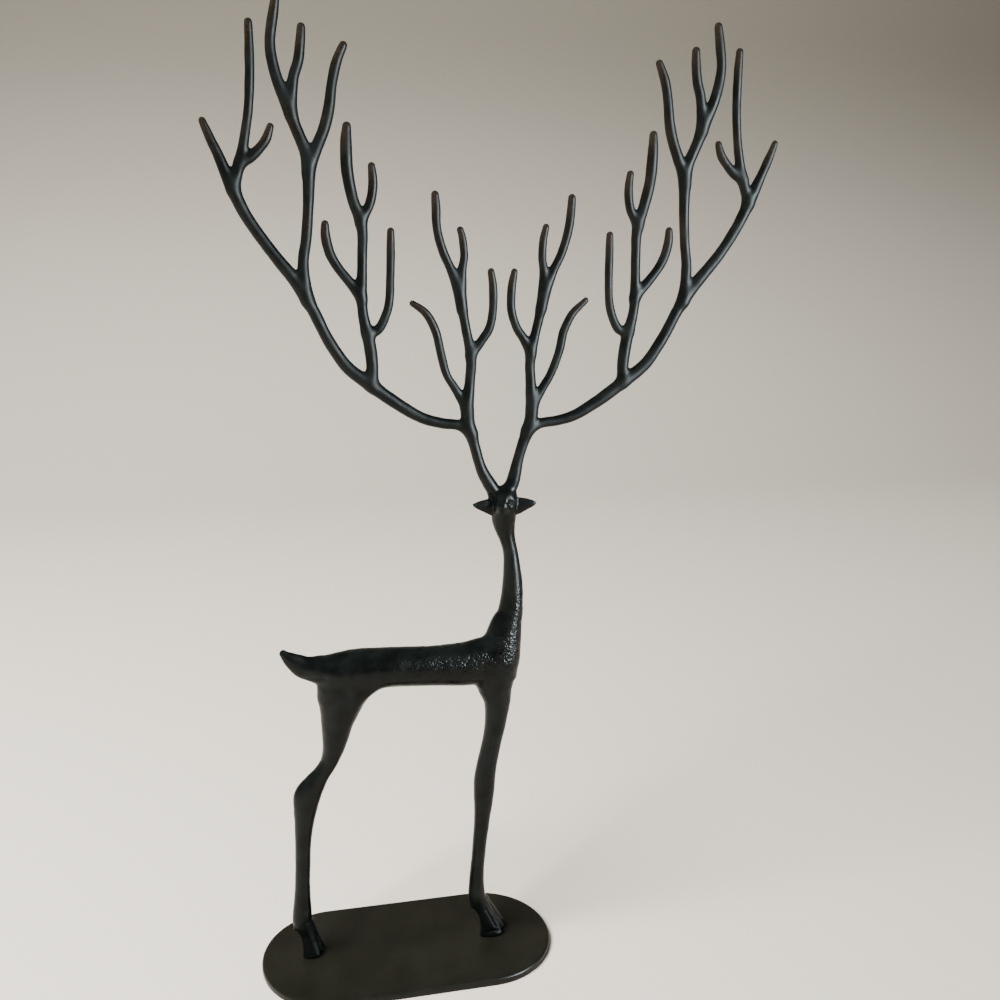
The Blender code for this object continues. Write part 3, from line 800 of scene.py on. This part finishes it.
@dataclass(frozen=True)
class Body:
    """The trunk and tail, the neck with the fore leg below it, and the hind leg."""

    blend: float = 6.0
    haunch_blend: float = 8.0
    parts: int = 6
    trunk: tuple = (
        (-66, 258, 11, 9.5), (-56, 256.6, 13.8, 13), (-38, 256.7, 15.9, 14.8),
        (-10, 256.1, 15.6, 14.5), (20, 254.8, 15.9, 14.3), (45, 254.4, 17.6, 14.6),
        (62, 256.6, 18.6, 14), (72, 258, 16, 13))
    tail: tuple = (
        (-58, 258.5, 9, 8.5), (-70, 259, 9.3, 7.5), (-79, 261.2, 9, 6), (-86, 265.8, 7.2, 4.8),
        (-91.3, 270.2, 4.8, 3.5), (-94.4, 273.4, 3.1, 2.4))
    neck_and_fore_leg: tuple = (
        (74.3, 386, 8.4, 8.2), (74.4, 374, 9.2, 8.2), (75.1, 366, 8.2, 7.2), (77.4, 356, 6.2, 6),
        (80.4, 344, 5.8, 5.7), (81.9, 330, 6.9, 6.6), (82.5, 315, 8.2, 7.8), (82, 305, 9, 8.6),
        (80.9, 294, 10.2, 9.6), (78.2, 285, 12.7, 11), (75, 270, 15.2, 13), (73, 256, 16, 13.4),
        (69.8, 243, 17.4, 13), (70.2, 233, 14.4, 11.8), (71.8, 222, 11.2, 10.4),
        (71.6, 210, 9.4, 9), (70.4, 198, 8.5, 8), (67.8, 183, 7.9, 7.4), (64.5, 166, 8.2, 7.4),
        (62.6, 150, 8.8, 7.6), (62.1, 134, 8, 7), (61, 115, 6.6, 6.2), (59.4, 94, 5.9, 5.8),
        (57.9, 74, 5.7, 5.8), (57.1, 58, 6.2, 6.2), (57.4, 46, 7, 7), (59.4, 37, 7.2, 6.6),
        (63.4, 30, 5.6, 5.4), (66, 25, 4.8, 4.8))
    hind_leg: tuple = (
        (-50, 253, 12, 11.5), (-51, 244, 18, 13), (-52.1, 236, 18.2, 13.2),
        (-52.9, 227, 16.4, 12.4), (-55.2, 214, 12.8, 11), (-57, 201, 10.3, 9.6),
        (-59, 190, 8.3, 8.4), (-62.4, 180, 6.8, 7.2), (-67.8, 171.5, 6.7, 6.6),
        (-73.6, 163, 8.6, 7), (-79.6, 153, 10.6, 7.6), (-81.6, 141, 9.3, 7.6),
        (-82.9, 128, 7.5, 7), (-84.1, 112, 6.4, 6.4), (-84.9, 95, 6.1, 6),
        (-85.6, 78, 6, 6), (-86.1, 62, 6.6, 6.4), (-86.6, 48, 7.6, 7), (-86.6, 38, 7.4, 6.8),
        (-83.2, 30, 5.6, 5.6), (-81.4, 25, 4.8, 4.8))

    # The web that rounds the corner between the thigh and the belly
    groin: tuple = ((-48, 226.4, 7, 10.5), (-37, 237.6, 7, 11.5), (-25.5, 248, 6.6, 12))

    # The hollows of the far side, which the near side has too: their x, y, z, and width and depth
    hollows: tuple = (
        (((-80, 5.5, 253.5), (-72, 8, 254.5), (-64, 10, 255)), 1.6, 0.9),
        (((-55, 9.5, 200), (-62, 7.2, 178), (-74, 7, 160), (-80, 7.2, 138), (-82.5, 6.4, 110),
          (-83.4, 6, 80), (-84, 6.4, 52)), 1.8, 0.55),
        (((71, 9, 210), (67, 7.4, 180), (61.5, 7.6, 150), (60, 6.2, 110), (57.5, 5.8, 74),
          (57, 6.2, 52)), 1.7, 0.5))
    notch: Crease = Crease(((31.5, -3, 237.2), (33, 0, 237.2), (34.5, 3, 237.2)), 1.2, 0.9)

    def forms(self) -> list:
        """The swept forms."""
        limbs = (self.trunk, self.tail, self.neck_and_fore_leg, self.hind_leg, self.groin)
        blends = (self.blend, self.blend, self.blend, self.haunch_blend, self.haunch_blend)
        return [Sweep(refine(limb, self.parts), blend) for limb, blend in zip(limbs, blends)]

    def creases(self) -> list:
        """The fold under the tail, the belly's notch and the long hollows of the legs."""
        marks = [Crease(tuple((x, side * y, z) for x, y, z in rows), width, depth)
                 for side in SIDES for rows, width, depth in self.hollows]
        return [*marks, self.notch]


@dataclass(frozen=True)
class Head:
    """The skull and muzzle turned to the viewer, with ears and eyes."""

    skull: tuple = (
        (76, 5, 388, 8.2, 7.6), (75, 0, 388, 9.5, 9.3), (73.8, -3.8, 387.2, 8.6, 8.8),
        (72.6, -6.6, 386.2, 7, 7.4), (71.6, -8.8, 385.2, 5.6, 6), (71, -10, 384.6, 4.4, 4.8))
    throat: tuple = (
        (73.8, -2.5, 373, 5.5, 6.2), (73, -5, 377.5, 5.2, 6), (72.2, -6.8, 381, 4.8, 5.4))
    ear: tuple = (
        (4, -0.2, 382.2, 7.4, 3.5), (8.4, -0.8, 381.8, 7.2, 3), (12.3, -1.6, 382.6, 6.1, 2.5),
        (16.6, -2.4, 383.5, 4.6, 2.1), (20.9, -3.2, 384.2, 2.9, 1.6), (23.6, -3.8, 384.7, 1.3, 0.9))
    left_ear_scale: float = 1.07
    eyes: tuple = ((76.4, -9.8, 385.2), (64.6, -4.2, 389.1))
    eye: tuple = (1.2, 1.2)
    eye_depth: float = 1.5

    def forms(self) -> list:
        """The skull, the throat below the muzzle and both ears."""
        found = [Loft(refine(rows, 4), (1, 0, 0), blend)
                 for rows, blend in ((self.skull, 5.0), (self.throat, 7.0))]
        for reach in (-self.left_ear_scale, 1.0):
            rows = [(EARS_MIDDLE_X + reach * row[0], *row[1:]) for row in self.ear]
            found.append(Loft(refine(rows, 4), (0, 1, 0), 2.5))
        return found

    def beads(self) -> list:
        """The eyes, as small round forms set in their hollows."""
        return [Loft(np.array([(x, y, z, *self.eye), (x, y + self.eye_depth, z, *self.eye)]), (1, 0, 0), 0.6)
                for x, y, z in self.eyes]

    def creases(self) -> list:
        """The hollow of each eye, the nose's ridge and the fold of each ear."""
        return [
            Crease(((76.9, -10.4, 386.4), (76.9, -10.6, 385.2)), 2.7, 1.9),
            Crease(((63.3, -3.6, 390.9), (65.0, -5.4, 389.2), (66.8, -7.1, 387.4)), 1.6, 1.5),
            Crease(((73.4, -9.6, 391.6), (71.6, -12.4, 388.0), (70.0, -14.2, 384.0)), 2.0, -0.6),
            Crease(((85, -4.4, 387.2), (91, -4.8, 387.2), (98, -5.2, 386.0)), 2.0, 1.5),
            Crease(((64, -4.4, 387.2), (58, -4.8, 387.2), (52, -5.2, 386.0)), 2.0, 1.5),
        ]


@dataclass(frozen=True)
class Foot:
    """A cloven foot: two digits that widen from the fetlock down to the plate.

    The rows of a digit are x, y, z, half length and half width, for the one nearer the viewer; the
    other stands beside it, `spread` further away and a little ahead.
    """

    digit: tuple
    spread: float
    ahead: float
    dewclaw: tuple
    grooves: tuple
    blend: float = 1.6

    def forms(self) -> list:
        """Both digits and the dewclaws."""
        found = []
        for far in (0, 1):
            digit = np.array(self.digit, float)
            share = far * np.linspace(0.35, 1.0, len(digit))
            digit[:, 1] += self.spread * share
            digit[:, 0] += self.ahead * share
            found.append(Loft(refine(digit, 4), (0, 1, 0), self.blend))
        x, y, z = self.dewclaw
        for side in SIDES:
            rows = np.array([(x, side * y, z, 1.6, 1.4), (x - 0.6, side * y, z - 1.6, 1.1, 1.0)])
            found.append(Loft(rows, (0, 1, 0), self.blend))
        return found

    def creases(self) -> list:
        """The grooves that run down the near side of the foot."""
        return [Crease(groove, 1.1, 0.7) for groove in self.grooves]


@dataclass(frozen=True)
class Stag:
    """The whole figure as one casting."""

    body: Body = Body()
    head: Head = Head()
    antlers: Antlers = Antlers()
    fore_foot: Foot = Foot(
        digit=((59.6, -1.8, 39, 6.4, 4.2), (63.4, -2, 30.5, 6.2, 4), (66.8, -2.4, 22, 6.8, 3.9),
               (69.2, -3, 14, 8.6, 4), (70, -3.4, 8, 9.8, 4.3)),
        spread=7.4,
        ahead=4.6,
        dewclaw=(53.2, 2.6, 36.0),
        grooves=(((64.5, -6, 33), (68.5, -6.4, 25), (73, -7, 16)),
                 ((61.5, -6.2, 20), (64, -6.6, 13), (64.6, -7, 8)),
                 ((66, -6.8, 11.5), (71.5, -7.4, 12.5), (78, -7.4, 11))))
    hind_foot: Foot = Foot(
        digit=((-85.4, -1.8, 39, 6.4, 4.3), (-83.4, -1.4, 30.5, 5.7, 4), (-81.8, -1, 22, 5.8, 3.8),
               (-80.4, -0.6, 14, 6.6, 3.8), (-79.8, -0.4, 8, 7.4, 4)),
        spread=6.4,
        ahead=3.6,
        dewclaw=(-92.4, 2.8, 37.0),
        grooves=(((-79.6, -5.6, 34), (-78, -5.2, 25), (-75.6, -4.8, 15)),
                 ((-85.4, -5.6, 22), (-84.2, -5.2, 14), (-84, -5, 8))))
    # The grid across: its cell, and where it starts and ends
    cell: float = 1.25
    grid_x: tuple = (-142, 284)
    grid_y: tuple = (-27, 20)
    # The grid's steps upwards, as (top of the zone, step): finer at the feet and head
    rises: tuple = ((46, 1.0), (165, 1.9), (318, 1.25), (366, 1.7), (404, 0.9), (736, 2.1))
    bottom: float = 4.0
    fine_zones: tuple = (
        ((46, -26, 370), (104, 0, 398)), ((56, -16, 4), (86, 12, 42)), ((-98, -16, 4), (-66, 12, 42)))
    # The relief's heights, its waves' lengths, and how far above the sole it is at its full height
    seed: int = 7
    lump: float = 0.16
    lump_wave: float = 9.0
    hammer: float = 0.22
    hammer_wave: float = 2.6
    dimple: float = 0.34
    dimple_spacing: float = 4.2
    dimple_width: float = 1.3
    relief_from: float = 2.0
    # Where the skin is pitted, as (x, z, half length, half height, how much)
    patches: tuple = (
        (48, 262, 34, 13, 1.0), (10, 257, 38, 11, 0.55), (80, 272, 13, 16, 0.9),
        (88, 300, 7, 20, 0.9), (60, 240, 16, 14, 0.25))
    tip_reach: float = 13.0
    # The paint turns from semi-gloss to satin over these heights, by these shares
    satin_heights: tuple = (376.0, 392.0, 440.0)
    satin_shares: tuple = (0.0, 0.4, 1.0)

    def axes(self) -> tuple[Array, Array, Array]:
        """The grid's x, y and z values, its steps upwards set by zone."""
        heights = [np.array([self.bottom])]
        for top, step in self.rises:
            start = heights[-1][-1]
            heights.append(start + step * np.arange(1, round((top - start) / step) + 1))
        return np.arange(*self.grid_x, self.cell), np.arange(*self.grid_y, self.cell), np.concatenate(heights)

    def casting(self) -> Casting:
        """All forms joined, then the creases cut, and the eyes set in last."""
        solid = (self.body, self.fore_foot, self.hind_foot, self.antlers, self.head)
        marked = (self.body, self.head, self.fore_foot, self.hind_foot)
        forms = [form for part in solid for form in part.forms()]
        creases = [mark for part in marked for mark in part.creases()]
        return Casting([*forms, *creases, *self.head.beads()], SOLE)

    def refined(self, points: Array, faces: Array) -> tuple[Array, Array]:
        """The net with the faces in the fine zones cut in four and every face made triangles."""
        work = bmesh.new()
        draft = new_mesh("draft", points, faces)
        work.from_mesh(draft)
        bpy.data.meshes.remove(draft)
        middle = points[faces].mean(1)
        chosen = np.zeros(len(faces), bool)
        for low, high in self.fine_zones:
            chosen |= ((middle > low) & (middle < high)).all(1)
        work.faces.ensure_lookup_table()
        edges = dict.fromkeys(edge for index in np.flatnonzero(chosen) for edge in work.faces[index].edges)
        bmesh.ops.subdivide_edges(work, edges=list(edges), cuts=1, use_grid_fill=True)
        bmesh.ops.triangulate(work, faces=work.faces[:])
        work.verts.index_update()
        found = (np.array([vert.co[:] for vert in work.verts]),
                 np.array([[vert.index for vert in face.verts] for face in work.faces]))
        work.free()
        return found

    def pitting(self, points: Array) -> Array:
        """How rough the cast skin is, from 0 to 1.

        In words: the sum of bell curves about the shoulder, the flank, the chest and the neck's
        front, each with its own half lengths.
        """
        total = np.zeros(len(points))
        for x, z, wide, high, much in self.patches:
            total += much * np.exp(-(((points[:, 0] - x) / wide) ** 2) - ((points[:, 2] - z) / high) ** 2)
        return np.clip(total, 0.0, 1.0)

    def relief(self, points: Array) -> Array:
        """How far the cast skin stands out from the smooth form, in millimetres.

        In words: slow lumps all over, and where the skin is pitted a hammered wave less dimples.
        """
        lattice = Lattice(self.seed)
        rough = self.pitting(points)
        lumps = lattice.cloud(points, self.lump_wave) + 0.5 * lattice.cloud(points + 40, self.lump_wave / 2)
        hammered = lattice.cloud(points, self.hammer_wave)
        dimples = lattice.dimples(points, self.dimple_spacing, self.dimple_width)
        return self.lump * lumps + rough * (self.hammer * hammered - self.dimple * dimples)

    def build(self, finish: StagIron) -> bpy.types.Object:
        """Makes the figure's surface.

        In words: the joined field's surface is netted on the grid, refined and settled onto the
        exact field, and then moved along the field's slope by the relief.

        Args:
            finish: the paint and skin.

        Returns:
            The piece.
        """
        casting = self.casting()
        axes = self.axes()
        points, faces = surface_net(without_corner_touches(casting.on_grid(axes)), axes)
        points, faces = self.refined(points, faces)
        points = casting.settle(points)
        slope = casting.slope(points)
        normal = slope / np.maximum(np.linalg.norm(slope, axis=1, keepdims=True), TINY)
        above = np.clip((points[:, 2:] - SOLE) / self.relief_from, 0.0, 1.0)
        points = points + normal * self.relief(points)[:, None] * above
        mesh = new_mesh("stag_skin", points * MM, faces)
        set_attribute(mesh, "pitting", self.pitting(points))
        set_attribute(mesh, "satin", np.interp(points[:, 2], self.satin_heights, self.satin_shares))
        gap = np.sqrt(((points[:, None, ::2] - self.antlers.tips()[None, :, ::2]) ** 2).sum(2)).min(1)
        set_attribute(mesh, "wear", np.exp(-((gap / self.tip_reach) ** 2)))
        return add_piece(mesh, finish.material(), "stag")


@dataclass(frozen=True)
class BasePlate:
    """The flat plate with half-round ends and a rounded upper edge, in metres."""

    length: float = 0.240
    width: float = 0.115
    thickness: float = 0.0062
    edge: float = 0.0022
    foot_edge: float = 0.0004
    arc_steps: int = 64
    straight_steps: int = 40
    # The points of the section: along the underside, round the lower and the upper edge, and inwards
    section_steps: tuple = (7, 4, 11, 30)
    seed: int = 19
    unevenness: float = 0.00007
    waves: tuple = (0.021, 0.008)
    doubles_within: float = 2e-6
    rubbed_in: float = 0.001
    rubbed_reach: float = 0.0022

    def outline(self) -> tuple[Array, Array]:
        """The oval's middle line and outward direction, all the way round.

        In words: the direction turns once about, and the middle is the end of the straight line
        that the direction points past; along the straight sides it runs between the two ends.
        """
        half = (self.length - self.width) / 2
        turn = np.linspace(-np.pi / 2, np.pi / 2, self.arc_steps + 1)
        run = np.linspace(half, -half, self.straight_steps + 1)[1:-1]
        middles = np.concatenate([np.full(len(turn), half), run, np.full(len(turn), -half), -run])
        side = np.full(len(run), np.pi / 2)
        turns = np.concatenate([turn, side, turn + np.pi, -side])
        return middles, np.stack([np.cos(turns), np.sin(turns)], 1)

    def profile(self) -> Array:
        """The section from the underside's middle over the rim to the top's middle, as (out, up)."""
        wide, tall = self.width / 2, self.thickness
        under, lower, upper, over = self.section_steps
        below = np.linspace(0, wide - self.foot_edge, under)[:-1]
        low = np.radians(np.linspace(-90, 0, lower))
        high = np.radians(np.linspace(0, 90, upper))
        inwards = np.linspace(wide - self.edge, 0, over)[1:]
        return np.vstack([
            np.stack([below, np.zeros(len(below))], 1),
            np.stack([wide + self.foot_edge * (np.cos(low) - 1), self.foot_edge * (1 + np.sin(low))], 1),
            np.stack([wide + self.edge * (np.cos(high) - 1), tall + self.edge * (np.sin(high) - 1)], 1),
            np.stack([inwards, np.full(len(inwards), tall)], 1),
        ])

    def build(self, finish: PlateIron) -> bpy.types.Object:
        """Carries the profile round the outline.

        Args:
            finish: the plate's paint.

        Returns:
            The piece.
        """
        middles, outwards = self.outline()
        profile = self.profile()
        across, along = len(profile), len(middles)
        out = profile[None, :, 0]
        x = middles[:, None] + outwards[:, :1] * out
        y = outwards[:, 1:] * out
        z = np.broadcast_to(profile[None, :, 1], x.shape)
        points = np.stack([x, y, z], 2).reshape(-1, 3)
        number = np.arange(along * across).reshape(along, across)
        after = np.roll(number, -1, axis=0)
        faces = np.stack([number[:, :-1], after[:, :-1], after[:, 1:], number[:, 1:]], 2).reshape(-1, 4)
        lattice = Lattice(self.seed)
        long, short = (lattice.cloud(points, wave) for wave in self.waves)
        waves = long + 0.4 * short
        top = np.clip((points[:, 2] - 0.5 * self.thickness) / (0.5 * self.thickness), 0, 1)
        points[:, 2] += self.unevenness * (waves - 1.4) * top
        mesh = new_mesh("base_plate_skin", points, faces)
        work = bmesh.new()
        work.from_mesh(mesh)
        bmesh.ops.remove_doubles(work, verts=work.verts[:], dist=self.doubles_within)
        bmesh.ops.recalc_face_normals(work, faces=work.faces[:])
        work.to_mesh(mesh)
        place = np.array([vert.co[:] for vert in work.verts])
        work.free()
        mesh.shade_smooth()
        ahead = np.maximum(np.abs(place[:, 0]) - (self.length - self.width) / 2, 0)
        reach = np.hypot(ahead, place[:, 1])
        off = (reach - self.width / 2 + self.rubbed_in) / self.rubbed_reach
        set_attribute(mesh, "rubbed", np.exp(-(off**2)))
        return add_piece(mesh, finish.material(), "base_plate")


# The studio


@dataclass(frozen=True)
class Lamp:
    """A rectangular soft light, that either lights the set or only shows in the shiny surfaces."""

    name: str
    place: tuple
    aim: tuple
    size: tuple
    power: float
    mirrored: bool
    colour: tuple = (1.0, 1.0, 1.0)

    def build(self) -> None:
        """Adds the light."""
        data = bpy.data.lights.new(self.name, "AREA")
        data.shape = "RECTANGLE"
        data.size, data.size_y = self.size
        data.energy = self.power
        data.color = self.colour
        lamp = bpy.data.objects.new(self.name, data)
        lamp.location = self.place
        lamp.visible_glossy = self.mirrored
        lamp.visible_diffuse = not self.mirrored
        lamp.rotation_euler = (Vector(self.aim) - Vector(self.place)).to_track_quat("-Z", "Y").to_euler()
        bpy.context.scene.collection.objects.link(lamp)


@dataclass(frozen=True)
class Studio:
    """A pale floor that curves up into a wall, soft lights and the camera."""

    half_width: float = 6.0
    wall_from: float = 1.5
    curve_radius: float = 1.3
    wall_height: float = 5.0
    curve_steps: int = 24
    colour: tuple = (0.61, 0.57, 0.51)
    # Painted shade: the wall turns to this darker colour over these heights, painted for the light that falls
    # off up the wall
    painted_shade_top_colour: tuple = (0.22, 0.205, 0.175)
    painted_shade_rise: tuple = (0.0, 1.3)
    # Painted shade: the dim colour far out on the floor, standing in for the unlit room round the set
    painted_room_shade: tuple = (0.14, 0.135, 0.125)
    # Painted shade: the floor turns from dim to pale over these stretches, outside the picture, across and
    # away, the dim part painted for the unlit room round the set
    pale_across: tuple = (-4.5, -1.2)
    pale_away: tuple = (-4.0, -0.5)
    world_colour: tuple = (0.10, 0.10, 0.095)
    focal: float = 37.55
    sensor: float = 36.0
    eye: tuple = (-0.106, -0.749, 0.585)
    yaw_deg: float = 13.31
    pitch_deg: float = 14.46
    roll_deg: float = 1.09
    lamps: tuple = (
        Lamp("key", (-1.3, -0.6, 1.9), (0.05, 0.0, 0.2), (1.2, 1.2), 235.0, False, (1.0, 0.97, 0.93)),
        Lamp("wall", (0.4, 0.7, 2.4), (0.4, 2.8, 0.7), (2.4, 0.6), 35.0, False, (0.98, 1.0, 0.92)),
        Lamp("window", (1.15, -0.95, 0.58), (0.07, 0.0, 0.36), (0.42, 1.05), 160.0, True, (0.84, 0.97, 1.0)),
    )

    def build(self) -> None:
        """Adds the floor, the world, the lights and the camera."""
        self.floor()
        world = bpy.data.worlds.new("studio")
        world.use_nodes = True
        background = world.node_tree.nodes["Background"]
        background.inputs["Color"].default_value = (*self.world_colour, 1.0)
        bpy.context.scene.world = world
        for lamp in self.lamps:
            lamp.build()
        self.camera()

    def floor(self) -> None:
        """The floor under the plate and the wall behind, one smooth sweep, with painted shade far out on the
        floor and up the wall.
        """
        turns = np.linspace(0, np.pi / 2, self.curve_steps)
        back = self.wall_from + self.curve_radius * np.sin(turns)
        rise = self.curve_radius * (1 - np.cos(turns))
        depth = np.concatenate([[-self.half_width], back, [back[-1]]])
        height = np.concatenate([[0.0], rise, [self.wall_height]])
        rows = [np.stack([np.full_like(depth, side * self.half_width), depth, height], 1) for side in SIDES]
        count = len(depth)
        low = np.arange(count - 1)
        faces = np.stack([low, low + count, low + count + 1, low + 1], 1)
        mesh = new_mesh("floor", np.concatenate(rows), faces)
        shader = Shader("pale_floor")
        across, away, up = (
            shader.node("ShaderNodeSeparateXYZ", {}, {0: shader.place()}, axis) for axis in "XYZ")
        # Painted shade: the floor is painted dim outside the set, standing in for the unlit room
        pale = across.between(*self.pale_across) * away.between(*self.pale_away)
        # Painted shade: the wall is darkened upwards
        wall = shader.mix(up.between(*self.painted_shade_rise), self.colour, self.painted_shade_top_colour)
        colour = shader.mix(pale, self.painted_room_shade, wall)
        mesh.materials.append(shader.finish(Base_Color=colour, Roughness=0.9, Specular_IOR_Level=0.0))
        floor = bpy.data.objects.new("floor", mesh)
        bpy.context.scene.collection.objects.link(floor)

    def camera(self) -> None:
        """The camera, at the place and angle that the picture was taken from."""
        yaw, pitch, roll = (math.radians(a) for a in (self.yaw_deg, self.pitch_deg, self.roll_deg))
        turned = Matrix.Rotation(-yaw, 4, "Z") @ Matrix.Rotation(math.pi / 2 - pitch, 4, "X")
        data = bpy.data.cameras.new("camera")
        data.lens = self.focal
        data.sensor_width = self.sensor
        camera = bpy.data.objects.new("camera", data)
        camera.matrix_world = Matrix.Translation(self.eye) @ turned @ Matrix.Rotation(roll, 4, "Z")
        bpy.context.scene.collection.objects.link(camera)
        bpy.context.scene.camera = camera


def main() -> None:
    logging.basicConfig(level=logging.INFO, format="%(name)s: %(message)s")
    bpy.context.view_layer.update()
    Studio().build()
    Stag().build(StagIron())
    BasePlate().build(PlateIron())


if __name__ == "__main__":
    main()
